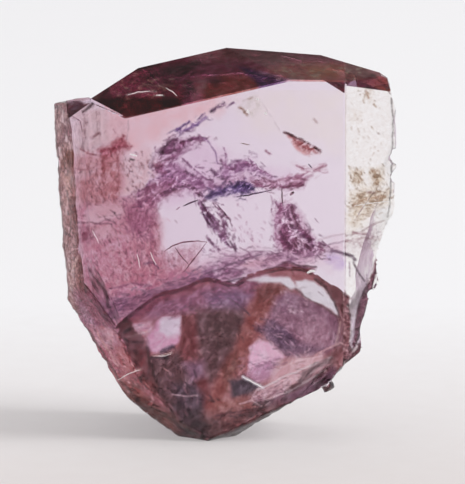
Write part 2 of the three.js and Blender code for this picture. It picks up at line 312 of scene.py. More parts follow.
ARCH = {
    "name": "arch_veil",
    "depth": 1.3,
    "faces": "front",
    "ground": (215, 200, 212),
    "frame": (128, 92, 346, 262),
    "spacing": 1.0,
    "grain": (5200, 0.45, 32, 0.15, 1.9),
    "wander": 2.5,
    "patches": [
        ((130, 70, 112), 0.85, 3, [(159, 164), (160, 152), (165, 144), (174, 140), (188, 139), (204, 138),
                                   (196, 146), (184, 152), (176, 162), (166, 168)]),
        ((164, 104, 126), 0.85, 3, [(152, 164), (158, 156), (166, 160), (166, 174), (154, 172)]),
        ((150, 98, 136), 0.85, 4, [(160, 166), (172, 158), (182, 166), (196, 176), (212, 184), (222, 190),
                                   (196, 194), (176, 188), (160, 184)]),
        ((148, 90, 120), 0.85, 4, [(134, 192), (148, 182), (166, 180), (186, 184), (178, 192), (164, 198),
                                   (156, 212), (138, 210)]),
        ((104, 74, 132), 0.85, 3, [(206, 196), (220, 186), (240, 182), (255, 188), (246, 194), (226, 194),
                                   (210, 199)]),
        ((154, 106, 146), 0.8, 3, [(216, 176), (226, 164), (246, 160), (260, 168), (271, 177), (246, 172),
                                   (230, 180)]),
        ((172, 132, 160), 0.7, 3, [(210, 182), (246, 174), (272, 180), (256, 186), (222, 187)]),
        ((160, 106, 136), 0.75, 3, [(254, 182), (276, 180), (300, 174), (312, 176), (304, 187),
                                    (270, 189)]),
        ((196, 164, 180), 0.6, 3, [(292, 162), (308, 168), (324, 165), (326, 169), (306, 173)]),
        ((170, 124, 152), 0.75, 4, [(272, 214), (280, 200), (290, 200), (302, 214), (310, 232), (322, 250),
                                    (300, 256), (276, 246)]),
        ((118, 60, 92), 0.9, 3, [(279, 230), (292, 222), (302, 230), (312, 240), (324, 250), (306, 256),
                                 (284, 250)]),
        ((212, 190, 208), 0.8, 3, [(190, 152), (206, 144), (214, 154), (214, 168), (200, 168)]),
        ((196, 152, 158), 0.9, 1.6, [(284, 135), (298, 138), (314, 148), (321, 152), (310, 156), (301, 153),
                                     (291, 143)]),
        ((146, 78, 84), 0.9, 1.6, [(286, 134), (300, 139), (320, 152), (312, 154), (304, 150), (294, 141)]),
        ((200, 186, 186), 0.6, 3, [(238, 100), (256, 96), (262, 106), (252, 116), (240, 112)]),
    ],
    "strokes": [
        ((88, 26, 40), 0.95, 2.8, [(284, 133), (293, 136), (303, 140), (312, 146), (321, 151)]),
        ((90, 40, 74), 0.95, 4.4, [(161, 156), (163, 149), (168, 143), (176, 140)]),
        ((116, 58, 100), 0.9, 2.8, [(165, 151), (174, 145), (186, 141), (198, 138), (206, 139)]),
        ((110, 54, 92), 0.9, 3.0, [(160, 161), (167, 156), (174, 150), (184, 146)]),
        ((134, 76, 112), 0.85, 2.2, [(157, 169), (164, 163), (172, 157), (180, 153)]),
        ((144, 94, 130), 0.8, 1.8, [(172, 161), (180, 155), (188, 151), (196, 147)]),
        ((104, 46, 80), 0.9, 4.0, [(179, 146), (184, 142)]),
        ((132, 92, 136), 0.85, 1.8, [(204, 138), (210, 144), (216, 154), (217, 163)]),
        ((136, 84, 126), 0.85, 2.0, [(223, 147), (226, 156), (225, 164)]),
        ((130, 78, 118), 0.8, 2.2, [(183, 159), (190, 166), (200, 175), (213, 182)]),
        ((106, 54, 94), 0.9, 3.0, [(187, 172), (193, 176), (197, 181)]),
        ((124, 74, 116), 0.8, 2.0, [(165, 168), (174, 178), (188, 188)]),
        ((134, 84, 122), 0.75, 2.0, [(172, 166), (182, 176), (194, 184)]),
        ((98, 52, 92), 0.9, 3.6, [(211, 170), (216, 175), (222, 178)]),
        ((120, 64, 106), 0.9, 3.0, [(221, 160), (227, 167), (233, 169), (239, 163), (246, 162)]),
        ((124, 68, 108), 0.9, 2.6, [(246, 163), (254, 165), (262, 171), (271, 176)]),
        ((92, 42, 76), 0.95, 4.2, [(165, 192), (174, 188), (184, 185), (191, 187), (197, 191), (204, 200)]),
        ((124, 68, 112), 0.85, 2.6, [(147, 185), (152, 180), (159, 178)]),
        ((126, 64, 100), 0.85, 3.4, [(138, 190), (137, 200), (142, 206)]),
        ((140, 84, 116), 0.8, 2.4, [(141, 190), (150, 186), (160, 184)]),
        ((60, 38, 88), 0.95, 4.8, [(222, 191), (232, 187), (244, 186), (253, 189)]),
        ((80, 52, 100), 0.9, 2.8, [(205, 197), (214, 194), (224, 192)]),
        ((76, 46, 96), 0.85, 2.4, [(236, 182), (244, 183), (252, 185)]),
        ((110, 48, 82), 0.9, 3.2, [(256, 184), (266, 187), (284, 187), (303, 185)]),
        ((120, 70, 96), 0.8, 2.2, [(262, 178), (270, 181), (276, 182)]),
        ((150, 92, 116), 0.85, 1.9, [(296, 165), (304, 169)]),
        ((140, 80, 104), 0.85, 2.2, [(314, 171), (320, 168), (326, 166)]),
        ((150, 100, 130), 0.7, 1.8, [(276, 180), (290, 177), (304, 176)]),
        ((106, 72, 128), 0.95, 2.8, [(176, 132), (183, 126), (190, 121)]),
        ((112, 74, 130), 0.95, 2.8, [(187, 130), (198, 124), (206, 117)]),
        ((136, 100, 146), 0.8, 2.0, [(180, 133), (190, 128), (196, 122)]),
        ((82, 44, 84), 0.95, 4.0, [(211, 111), (217, 107), (224, 104)]),
        ((124, 84, 122), 0.9, 2.2, [(227, 107), (234, 103)]),
        ((146, 112, 100), 0.85, 3.0, [(240, 108), (244, 111), (247, 115)]),
        ((168, 144, 138), 0.7, 2.0, [(243, 100), (252, 98)]),
        ((200, 184, 190), 0.6, 1.6, [(262, 104), (272, 118), (280, 132)]),
        ((150, 98, 122), 0.85, 2.6, [(266, 151), (270, 154)]),
        ((182, 160, 164), 0.7, 2.6, [(314, 119), (317, 123)]),
        ((146, 90, 124), 0.75, 3.6, [(281, 204), (281, 226), (284, 250)]),
        ((166, 120, 150), 0.7, 2.6, [(276, 216), (275, 232), (279, 246)]),
        ((108, 52, 84), 0.95, 3.4, [(291, 206), (296, 222), (304, 234), (314, 243), (324, 251)]),
        ((106, 58, 92), 0.9, 4.0, [(292, 226), (303, 236), (316, 247)]),
        ((104, 54, 86), 0.85, 3.0, [(280, 232), (286, 242), (296, 252)]),
        ((114, 66, 106), 0.9, 3.6, [(200, 200), (206, 211), (213, 222), (220, 234), (228, 244)]),
        ((104, 58, 98), 0.9, 2.2, [(202, 212), (208, 221), (214, 229)]),
        ((112, 62, 96), 0.9, 2.0, [(213, 203), (221, 210), (230, 221)]),
        ((104, 56, 90), 0.9, 2.0, [(217, 211), (222, 218), (227, 226)]),
        ((120, 72, 108), 0.9, 3.2, [(207, 236), (213, 243), (219, 250)]),
        ((102, 58, 92), 0.85, 2.4, [(227, 235), (232, 243), (236, 251)]),
        ((120, 72, 104), 0.8, 2.2, [(218, 228), (226, 238)]),
    ],
    "flecks": [
        ((118, 60, 100), 0.6, 70, 12, 6, 1.7, [(160, 164), (166, 150), (178, 143), (202, 139)]),
        ((212, 186, 204), 0.5, 50, 12, 6, 1.3, [(162, 166), (170, 152), (184, 146), (204, 142)]),
        ((134, 82, 124), 0.55, 80, 15, 6, 1.6, [(164, 174), (190, 178), (215, 184)]),
        ((142, 84, 116), 0.55, 80, 15, 5, 1.7, [(140, 204), (150, 190), (176, 182)]),
        ((116, 62, 108), 0.55, 70, 11, 6, 1.6, [(214, 178), (230, 165), (250, 164), (270, 176)]),
        ((88, 56, 106), 0.6, 70, 9, 5, 1.8, [(204, 196), (228, 189), (253, 187)]),
        ((122, 60, 94), 0.6, 50, 7, 7, 1.5, [(254, 184), (285, 186), (306, 181)]),
        ((170, 122, 144), 0.5, 40, 7, 7, 1.2, [(280, 180), (306, 174), (325, 168)]),
        ((120, 86, 132), 0.6, 30, 6, 7, 1.3, [(176, 133), (195, 123), (208, 116)]),
        ((124, 72, 112), 0.6, 60, 7, 8, 1.4, [(199, 200), (212, 220), (228, 244)]),
        ((116, 66, 102), 0.6, 40, 7, 7, 1.4, [(214, 204), (224, 220), (236, 250)]),
        ((140, 86, 122), 0.55, 70, 11, 7, 1.5, [(281, 204), (281, 230), (286, 252)]),
        ((114, 60, 96), 0.6, 90, 12, 8, 1.6, [(288, 212), (298, 232), (318, 250)]),
        ((208, 178, 198), 0.5, 50, 9, 7, 1.1, [(290, 218), (304, 240), (318, 252)]),
        ((160, 118, 146), 0.5, 50, 9, 5, 1.4, [(206, 250), (236, 256), (262, 250)]),
        ((176, 140, 162), 0.5, 40, 22, 3, 1.6, [(236, 212), (250, 236)]),
    ],
}

BAND = {
    "name": "band_veil",
    "depth": 0.75,
    "faces": "front",
    "ground": (213, 199, 212),
    "frame": (76, 222, 350, 336),
    "spacing": 1.0,
    "grain": (6000, 0.8, 14, 0.55, 1.45),
    "wander": 2.5,
    "patches": [
        ((132, 84, 110), 0.9, 4, [(84, 306), (139, 292), (185, 276), (215, 270), (240, 268), (240, 279),
                                  (198, 292), (150, 312), (92, 326)]),
        ((160, 116, 146), 0.85, 4, [(185, 272), (205, 266), (225, 258), (262, 252), (300, 250), (322, 248),
                                    (312, 262), (272, 268), (235, 277), (200, 286)]),
        ((194, 156, 172), 0.8, 3, [(240, 260), (262, 255), (280, 260), (262, 268), (240, 270)]),
        ((200, 164, 184), 0.7, 3, [(292, 256), (312, 256), (316, 264), (300, 266)]),
        ((118, 60, 78), 0.95, 2, [(262, 274), (272, 267), (284, 263), (298, 265), (316, 268), (314, 276),
                                  (300, 279), (285, 276)]),
        ((188, 164, 198), 0.85, 3, [(322, 252), (334, 252), (346, 262), (346, 269), (334, 268),
                                    (324, 260)]),
        ((226, 216, 220), 0.8, 2, [(320, 264), (332, 270), (345, 274), (345, 284), (336, 276), (322, 268)]),
    ],
    "strokes": [
        ((76, 42, 72), 0.9, 2.4, [(136, 312), (168, 300), (198, 290), (222, 284), (238, 279), (262, 275)]),
        ((100, 62, 92), 0.8, 2.4, [(200, 276), (222, 268), (240, 261), (262, 254)]),
        ((116, 74, 104), 0.7, 2.2, [(184, 284), (206, 280), (232, 272), (246, 268)]),
        ((128, 84, 112), 0.7, 1.8, [(240, 248), (248, 252), (252, 258)]),
        ((82, 42, 60), 0.85, 2.0, [(262, 273), (276, 266), (288, 262), (300, 266), (316, 267)]),
        ((86, 52, 80), 0.9, 3.4, [(332, 251), (340, 253), (348, 256)]),
        ((150, 116, 140), 0.8, 1.6, [(322, 247), (334, 243), (348, 240)]),
        ((178, 152, 166), 0.7, 1.4, [(318, 240), (334, 236), (348, 233)]),
    ],
    "flecks": [
        ((104, 58, 90), 0.5, 170, 14, 8, 1.4, [(96, 312), (150, 296), (200, 280), (240, 270)]),
        ((116, 72, 104), 0.5, 150, 12, 8, 1.2, [(190, 278), (240, 264), (300, 256), (330, 250)]),
        ((206, 172, 192), 0.5, 110, 13, 7, 1.0, [(200, 276), (240, 264), (300, 256), (322, 252)]),
        ((124, 78, 108), 0.5, 60, 8, 5, 1.2, [(246, 256), (280, 256), (310, 258)]),
    ],
}

SCARS = {
    "name": "scar_shades",
    "depth": 0.16,
    "faces": "scar",
    "ground": (212, 200, 212),
    "frame": (80, 256, 356, 444),
    "spacing": 1.0,
    "grain": (3800, 0.4, 60, 0.7, 1.35),
    "milk": 0.15,
    "wander": 2.5,
    "patches": [
        ((158, 104, 112), 1.0, 2, [(60, 240), (400, 240), (400, 450), (60, 450)]),
        ((142, 90, 116), 0.95, 5, [(110, 310), (200, 284), (262, 276), (256, 296), (236, 310), (196, 312),
                                   (140, 322), (110, 330)]),
        ((128, 98, 128), 0.8, 4, [(204, 294), (236, 290), (250, 296), (240, 312), (210, 312)]),
        ((172, 112, 126), 0.9, 4, [(116, 322), (148, 318), (156, 346), (146, 356), (118, 352)]),
        ((170, 122, 140), 0.8, 4, [(98, 328), (120, 324), (122, 346), (112, 352), (100, 344)]),
        ((162, 88, 98), 0.9, 4, [(104, 352), (146, 350), (150, 372), (136, 396), (112, 376)]),
        ((140, 70, 72), 0.9, 4, [(118, 384), (150, 376), (172, 396), (178, 416), (146, 408)]),
        ((98, 64, 70), 1.0, 5, [(150, 358), (184, 350), (196, 380), (206, 404), (200, 424), (176, 416),
                                (156, 396)]),
        ((104, 70, 78), 1.0, 7, [(192, 308), (240, 308), (250, 320), (240, 352), (226, 380), (208, 388),
                                 (196, 356)]),
        ((84, 54, 58), 0.8, 8, [(210, 314), (238, 316), (240, 340), (224, 354), (206, 344)]),
        ((112, 54, 60), 0.95, 3, [(181, 314), (197, 312), (197, 350), (206, 376), (215, 400), (207, 412),
                                  (193, 384), (180, 354)]),
        ((136, 74, 74), 0.95, 4, [(256, 294), (268, 285), (290, 288), (274, 304), (264, 318), (252, 344),
                                  (238, 370), (222, 400), (212, 414), (204, 406), (218, 374), (236, 342),
                                  (246, 316)]),
        ((108, 56, 58), 0.85, 4, [(256, 292), (270, 284), (286, 288), (272, 300), (258, 302)]),
        ((108, 66, 62), 0.7, 4, [(222, 372), (236, 350), (240, 366), (226, 392)]),
        ((134, 102, 126), 0.85, 4, [(184, 364), (202, 360), (206, 376), (190, 384)]),
        ((80, 62, 78), 0.85, 4, [(172, 384), (196, 384), (204, 398), (198, 418), (178, 408)]),
        ((204, 158, 184), 1.0, 2, [(158, 319), (180, 316), (178, 342), (170, 350), (160, 352), (148, 350),
                                   (146, 338), (152, 330)]),
        ((224, 196, 216), 0.95, 2, [(160, 320), (180, 317), (178, 334), (168, 338), (160, 332)]),
        ((200, 158, 176), 0.85, 2, [(134, 324), (152, 320), (154, 330), (140, 336)]),
        ((134, 92, 114), 1.0, 3, [(272, 306), (286, 292), (300, 292), (320, 304), (338, 316), (344, 342),
                                  (328, 354), (300, 360), (282, 350), (266, 330)]),
        ((156, 114, 134), 0.8, 5, [(300, 322), (322, 318), (334, 330), (330, 346), (312, 350), (300, 340)]),
        ((150, 110, 136), 0.6, 4, [(276, 298), (292, 294), (298, 306), (284, 314)]),
        ((98, 70, 98), 0.85, 3, [(258, 326), (274, 320), (292, 334), (298, 346), (286, 350), (266, 340)]),
        ((120, 88, 112), 0.8, 3, [(272, 344), (300, 342), (322, 350), (300, 358), (282, 354)]),
        ((212, 172, 196), 1.0, 2, [(250, 346), (260, 340), (272, 344), (286, 356), (274, 364), (262, 374),
                                   (248, 372)]),
        ((176, 132, 162), 0.8, 3, [(246, 374), (264, 364), (280, 358), (272, 376), (256, 386)]),
        ((202, 164, 176), 0.9, 4, [(278, 364), (300, 356), (324, 356), (328, 366), (306, 382), (280, 388),
                                   (264, 392)]),
        ((168, 128, 146), 0.8, 3, [(246, 400), (262, 390), (290, 384), (284, 396), (262, 404)]),
        ((130, 90, 114), 0.9, 4, [(272, 398), (306, 384), (332, 368), (340, 378), (306, 402), (270, 414),
                                  (250, 412)]),
        ((68, 56, 70), 0.95, 2.5, [(228, 382), (244, 376), (262, 387), (252, 395), (232, 398)]),
        ((146, 92, 90), 0.8, 4, [(214, 400), (250, 396), (256, 408), (230, 416), (212, 414)]),
        ((126, 80, 84), 0.9, 5, [(196, 414), (250, 408), (310, 398), (280, 418), (244, 432), (200, 442)]),
        ((68, 50, 58), 0.9, 5, [(172, 404), (200, 408), (206, 424), (212, 444), (184, 440)]),
        ((236, 228, 230), 1.0, 1.5, [(246, 279), (268, 276), (290, 278), (298, 288), (290, 290), (280, 283),
                                     (262, 283)]),
        ((236, 228, 230), 1.0, 1.5, [(296, 281), (314, 282), (326, 290), (334, 302), (338, 315), (322, 305),
                                     (306, 296), (298, 289)]),
        ((112, 62, 70), 1.0, 1.5, [(312, 266), (326, 272), (340, 284), (348, 298), (351, 318), (352, 346),
                                   (344, 346), (342, 320), (337, 306), (328, 290), (316, 279)]),
        ((122, 74, 82), 0.9, 3, [(338, 318), (350, 312), (351, 346), (330, 364), (322, 360), (338, 344)]),
    ],
    "strokes": [
        ((72, 38, 46), 0.9, 2.4, [(315, 279), (326, 288), (334, 301), (339, 316)]),
        ((76, 40, 50), 0.85, 2.0, [(314, 267), (328, 273), (340, 285), (348, 299), (351, 320)]),
        ((56, 34, 48), 0.9, 3.0, [(124, 332), (131, 329)]),
        ((58, 30, 40), 0.9, 2.8, [(124, 339), (128, 341)]),
        ((78, 40, 52), 0.8, 2.6, [(133, 342), (143, 342)]),
        ((70, 52, 74), 0.85, 5.0, [(162, 352), (172, 347)]),
        ((62, 44, 56), 0.85, 3.4, [(152, 357), (168, 358)]),
        ((56, 26, 32), 0.95, 3.2, [(141, 378), (142, 382)]),
        ((90, 48, 58), 0.7, 2.4, [(147, 348), (150, 364), (147, 380)]),
        ((96, 66, 84), 0.8, 1.6, [(228, 298), (240, 306), (250, 315)]),
        ((92, 52, 62), 0.7, 2.0, [(216, 416), (246, 410), (268, 407)]),
        ((110, 74, 82), 0.8, 2.0, [(296, 289), (308, 298), (324, 308), (339, 318)]),
        ((122, 76, 78), 0.7, 1.6, [(274, 286), (284, 286), (292, 292)]),
        ((226, 198, 208), 0.8, 1.4, [(258, 390), (286, 376), (318, 362)]),
        ((220, 190, 200), 0.7, 1.2, [(266, 400), (296, 388), (326, 370)]),
        ((216, 180, 190), 0.7, 1.2, [(284, 366), (300, 360), (322, 356)]),
        ((214, 172, 180), 0.8, 1.8, [(128, 337), (138, 334), (147, 331)]),
        ((216, 174, 176), 0.9, 2.4, [(117, 381), (126, 374), (141, 369)]),
        ((206, 160, 164), 0.8, 1.3, [(118, 357), (126, 362), (134, 367)]),
        ((214, 180, 188), 0.8, 1.8, [(110, 346), (117, 351)]),
        ((236, 214, 224), 0.95, 2.4, [(243, 377), (252, 382), (263, 388)]),
        ((206, 176, 188), 0.7, 1.2, [(240, 404), (252, 400), (262, 407)]),
        ((196, 164, 176), 0.6, 1.2, [(172, 394), (186, 396), (198, 396)]),
        ((204, 176, 178), 0.8, 1.2, [(153, 356), (162, 356), (172, 353)]),
        ((206, 164, 160), 0.7, 1.4, [(128, 382), (134, 386)]),
        ((198, 156, 164), 0.7, 1.6, [(314, 356), (330, 348), (340, 342), (349, 346)]),
        ((184, 148, 150), 0.7, 1.3, [(340, 322), (338, 334), (335, 346)]),
    ],
    "flecks": [
        ((86, 48, 56), 0.5, 90, 24, 6, 1.4, [(124, 352), (150, 400)]),
        ((196, 146, 150), 0.45, 50, 22, 6, 1.1, [(118, 356), (146, 396)]),
        ((66, 44, 56), 0.5, 90, 26, 6, 1.6, [(170, 366), (186, 416)]),
        ((136, 96, 108), 0.45, 50, 24, 6, 1.2, [(172, 366), (186, 410)]),
        ((84, 56, 80), 0.5, 60, 11, 8, 1.3, [(262, 326), (296, 348)]),
        ((178, 140, 160), 0.4, 34, 12, 8, 1.0, [(264, 322), (300, 346)]),
        ((140, 100, 124), 0.5, 50, 10, 5, 1.1, [(250, 368), (276, 362)]),
        ((120, 80, 96), 0.45, 80, 14, 10, 1.2, [(262, 402), (330, 368)]),
        ((214, 180, 192), 0.45, 50, 14, 9, 1.0, [(262, 396), (328, 362)]),
        ((80, 50, 58), 0.45, 90, 18, 10, 1.5, [(200, 430), (250, 418), (304, 402)]),
        ((160, 110, 116), 0.4, 50, 16, 9, 1.1, [(204, 424), (250, 412), (300, 400)]),
        ((170, 120, 150), 0.4, 50, 14, 6, 1.2, [(140, 318), (200, 300), (240, 292)]),
        ((96, 58, 84), 0.4, 60, 14, 7, 1.3, [(130, 318), (200, 298), (246, 286)]),
        ((128, 90, 108), 0.4, 50, 26, 6, 1.3, [(290, 310), (330, 340)]),
        ((200, 168, 184), 0.4, 20, 12, 3, 1.2, [(280, 298), (300, 314)]),
        ((92, 58, 60), 0.4, 60, 26, 6, 1.6, [(216, 320), (220, 372)]),
    ],
}

FOOT = {
    "name": "foot_shades",
    "depth": 0.14,
    "faces": "foot",
    "ground": (204, 192, 204),
    "frame": (62, 286, 356, 446),
    "spacing": 1.1,
    "grain": (5200, 0.35, 50, 0.7, 1.35),
    "milk": 0.2,
    "wander": 2.5,
    "patches": [
        ((150, 88, 100), 1.0, 2, [(60, 280), (400, 280), (400, 450), (60, 450)]),
        ((148, 102, 126), 0.95, 4, [(64, 286), (96, 290), (110, 326), (84, 328)]),
        ((168, 116, 134), 0.9, 4, [(84, 322), (104, 322), (118, 336), (118, 352), (104, 354), (92, 338)]),
        ((190, 146, 158), 0.8, 2, [(104, 328), (113, 332), (114, 350), (108, 346)]),
        ((160, 84, 102), 0.9, 4, [(96, 344), (112, 348), (122, 366), (118, 378), (104, 364)]),
        ((168, 104, 110), 0.85, 4, [(116, 348), (140, 350), (150, 372), (126, 376)]),
        ((144, 72, 72), 0.9, 4, [(110, 372), (140, 384), (150, 402), (128, 400)]),
        ((96, 54, 50), 0.9, 4, [(104, 384), (130, 390), (156, 404), (180, 416), (200, 446), (150, 446)]),
        ((72, 48, 54), 0.9, 4, [(170, 406), (200, 420), (208, 446), (180, 440)]),
        ((112, 72, 76), 0.9, 4, [(196, 442), (240, 424), (300, 392), (330, 376), (330, 400), (240, 446)]),
        ((150, 100, 104), 0.9, 3, [(318, 372), (340, 352), (356, 340), (356, 360), (336, 378)]),
        ((74, 48, 60), 1.0, 1.2, [(316, 382), (322, 374), (330, 368), (336, 390), (326, 386)]),
        ((150, 120, 136), 0.9, 1.2, [(315, 384), (326, 386), (334, 392), (322, 400)]),
    ],
    "strokes": [
        ((84, 46, 46), 0.85, 2.4, [(68, 296), (76, 318), (90, 332), (102, 352), (118, 378), (142, 404),
                                   (172, 416), (200, 440)]),
        ((86, 54, 56), 0.8, 3.0, [(206, 441), (240, 433), (280, 417), (316, 397)]),
        ((210, 190, 182), 0.8, 1.8, [(74, 306), (78, 314)]),
        ((216, 196, 190), 0.8, 1.6, [(80, 300), (84, 308)]),
        ((190, 146, 150), 0.7, 2.0, [(98, 334), (108, 350), (118, 366)]),
    ],
    "flecks": [
        ((96, 50, 62), 0.45, 90, 18, 4, 1.5, [(84, 320), (110, 360), (150, 402)]),
        ((206, 160, 168), 0.5, 90, 18, 4, 1.2, [(80, 306), (106, 350), (140, 392)]),
        ((76, 46, 50), 0.5, 60, 8, 8, 1.5, [(206, 436), (260, 424), (316, 394)]),
    ],
}

END = {
    "name": "end_stain",
    "depth": 0.14,
    "faces": "left",
    "ground": (208, 193, 207),
    "frame": (50, 94, 124, 336),
    "spacing": 1.0,
    "grain": (9500, 0.2, 80, 0.4, 1.8),
    "milk": 0.15,
    "wander": 2,
    "patches": [
        ((162, 126, 128), 1.0, 2, [(40, 90), (100, 90), (100, 330), (40, 330)]),
        ((152, 100, 124), 1.0, 2, [(88, 288), (128, 296), (128, 340), (88, 340)]),
        ((150, 104, 126), 0.9, 4, [(74, 290), (92, 288), (96, 334), (80, 330)]),
        ((134, 84, 92), 0.9, 3, [(56, 102), (80, 102), (78, 112), (60, 116)]),
        ((130, 88, 102), 0.85, 3, [(62, 116), (74, 118), (72, 142), (60, 146)]),
        ((128, 76, 58), 0.95, 2.5, [(61, 156), (72, 150), (74, 160), (69, 169), (62, 167)]),
        ((202, 184, 180), 0.8, 3, [(63, 172), (71, 172), (73, 196), (66, 204)]),
        ((120, 76, 72), 0.9, 2.5, [(71, 196), (79, 206), (82, 258), (85, 290), (79, 288), (74, 240)]),
        ((176, 146, 144), 0.8, 3, [(68, 262), (78, 260), (78, 286), (70, 290)]),
    ],
    "strokes": [
        ((84, 44, 44), 0.9, 2.4, [(74, 176), (77, 200), (80, 232), (83, 262), (86, 292)]),
        ((96, 60, 60), 0.85, 2.0, [(58, 106), (56, 126), (58, 150), (60, 200), (64, 240), (68, 296)]),
        ((96, 56, 60), 0.8, 1.8, [(74, 148), (73, 166), (76, 186)]),
        ((218, 202, 198), 0.85, 1.8, [(64, 182), (68, 198), (66, 214)]),
        ((104, 70, 66), 0.8, 1.5, [(66, 190), (71, 212), (70, 236)]),
        ((216, 200, 196), 0.85, 2.2, [(70, 108), (76, 112)]),
        ((216, 202, 200), 0.8, 2.0, [(60, 148), (62, 158)]),
        ((214, 198, 190), 0.8, 1.4, [(72, 272), (76, 262), (78, 256)]),
    ],
    "flecks": [
        ((88, 54, 54), 0.55, 120, 12, 5, 1.3, [(64, 108), (66, 200), (74, 290)]),
        ((220, 206, 202), 0.55, 90, 12, 5, 1.2, [(66, 112), (68, 200), (76, 286)]),
        ((110, 64, 44), 0.5, 20, 5, 4, 1.3, [(66, 152), (67, 168)]),
    ],
}

STRIP = {
    "name": "strip_specks",
    "depth": 0.12,
    "faces": "strip",
    "ground": (237, 235, 238),
    "frame": (344, 74, 398, 374),
    "spacing": 1.0,
    "grain": (7200, 0.2, 0, 0.5, 1.7),
    "wander": 2,
    "patches": [
        ((230, 225, 226), 0.9, 3, [(340, 70), (400, 70), (400, 380), (340, 380)]),
        ((212, 196, 182), 0.8, 4, [(350, 194), (364, 187), (380, 190), (392, 190), (388, 204), (366, 210),
                                   (350, 226)]),
        ((208, 190, 172), 0.7, 4, [(351, 171), (362, 170), (362, 184), (353, 185)]),
        ((204, 184, 164), 0.7, 4, [(369, 168), (382, 168), (385, 182), (373, 187)]),
        ((214, 202, 196), 0.7, 3, [(364, 88), (372, 88), (374, 101), (366, 101)]),
        ((220, 210, 206), 0.6, 4, [(352, 110), (362, 112), (358, 122), (350, 118)]),
        ((222, 212, 204), 0.6, 4, [(346, 214), (366, 206), (376, 208), (356, 230), (346, 232)]),
        ((212, 200, 204), 0.5, 4, [(344, 236), (378, 224), (380, 244), (344, 260)]),
        ((126, 80, 96), 1.0, 1.0, [(379, 247), (380, 256), (375, 276), (368, 300), (361, 326), (356, 346),
                                   (352, 350), (353, 336), (355, 318), (360, 298), (367, 282), (374, 266)]),
        ((128, 82, 90), 1.0, 1.2, [(340, 284), (349, 298), (351, 318), (351, 352), (340, 360)]),
        ((122, 78, 86), 1.0, 1.2, [(340, 352), (352, 352), (364, 338), (366, 362), (340, 378)]),
        ((240, 236, 238), 0.9, 1.0, [(351, 318), (354, 316), (354, 336), (352, 348)]),
    ],
    "strokes": [
        ((150, 124, 104), 0.85, 2.8, [(356, 174), (359, 175)]),
        ((146, 118, 98), 0.85, 3.0, [(374, 176), (378, 175)]),
        ((176, 150, 134), 0.7, 2.4, [(372, 170), (378, 171)]),
        ((138, 104, 96), 0.85, 3.4, [(368, 192), (374, 193)]),
        ((180, 152, 132), 0.8, 2.8, [(354, 204), (362, 200), (374, 198), (386, 197)]),
        ((176, 152, 138), 0.8, 2.4, [(350, 208), (356, 204)]),
        ((184, 160, 148), 0.7, 2.2, [(366, 92), (369, 98)]),
        ((196, 178, 168), 0.7, 1.6, [(371, 126), (373, 129)]),
        ((150, 130, 130), 0.8, 1.6, [(377, 133), (379, 134)]),
        ((168, 142, 144), 0.75, 1.5, [(346, 236), (360, 232), (374, 224), (384, 220)]),
        ((186, 164, 166), 0.7, 1.3, [(346, 242), (362, 238), (380, 240)]),
        ((150, 108, 120), 0.8, 2.4, [(353, 232), (358, 234), (366, 234)]),
        ((84, 52, 76), 0.9, 3.2, [(344, 254), (352, 256), (355, 260)]),
        ((90, 58, 80), 0.85, 2.0, [(353, 262), (358, 272), (364, 281)]),
        ((150, 120, 140), 0.7, 1.5, [(349, 262), (350, 276)]),
        ((72, 40, 54), 0.9, 1.6, [(380, 248), (378, 262), (371, 290), (363, 320), (357, 344)]),
        ((96, 58, 72), 0.8, 1.3, [(366, 284), (360, 299), (356, 316)]),
        ((76, 50, 56), 0.9, 1.6, [(350, 350), (355, 346), (358, 336)]),
        ((74, 56, 60), 0.8, 1.3, [(391, 98), (393, 120), (392, 150), (391, 180), (390, 204), (387, 216)]),
        ((120, 90, 86), 0.7, 1.3, [(376, 78), (384, 84), (390, 94)]),
    ],
    "flecks": [
        ((150, 122, 100), 0.6, 110, 10, 2.6, 1.4, [(353, 202), (388, 195)]),
        ((160, 132, 110), 0.6, 40, 9, 2.4, 1.4, [(355, 172), (358, 184)]),
        ((156, 126, 102), 0.6, 50, 9, 2.4, 1.4, [(374, 170), (379, 186)]),
        ((176, 152, 136), 0.6, 16, 7, 2.4, 1.4, [(366, 90), (371, 100)]),
        ((182, 160, 144), 0.55, 60, 12, 3, 1.3, [(350, 218), (376, 207)]),
        ((196, 178, 170), 0.5, 30, 24, 2.4, 1.3, [(358, 120), (366, 160)]),
        ((170, 140, 150), 0.6, 40, 9, 5, 1.1, [(346, 244), (378, 234)]),
    ],
}

SHEETS = (HAZE, ARCH, BAND, LEFT, SCARS, FOOT, END, TOP, STRIP)

# Fine cracks in the same sketch: (colour, width, line)

CRACKS = [
    ((62, 38, 64), 1.5, [(236, 197), (248, 195), (262, 192), (272, 190)]),
    ((76, 48, 70), 1.6, [(183, 206), (190, 203), (198, 200)]),
    ((118, 64, 82), 1.5, [(164, 252), (172, 246), (184, 242), (196, 241), (207, 242)]),
    ((122, 70, 90), 1.3, [(207, 242), (198, 254), (190, 264), (184, 272)]),
    ((122, 70, 90), 1.2, [(175, 247), (181, 256), (188, 264)]),
    ((90, 52, 66), 1.3, [(282, 187), (282, 196), (283, 206)]),
    ((76, 40, 52), 2.8, [(290, 195), (294, 192)]),
    ((74, 54, 74), 1.5, [(308, 164), (312, 168)]),
    ((126, 70, 92), 1.3, [(199, 199), (207, 212), (214, 224)]),
    ((120, 72, 100), 1.2, [(214, 202), (223, 211), (231, 222)]),
    ((130, 84, 108), 1.1, [(176, 210), (180, 207)]),
    ((140, 116, 112), 1.1, [(240, 143), (250, 145)]),
]
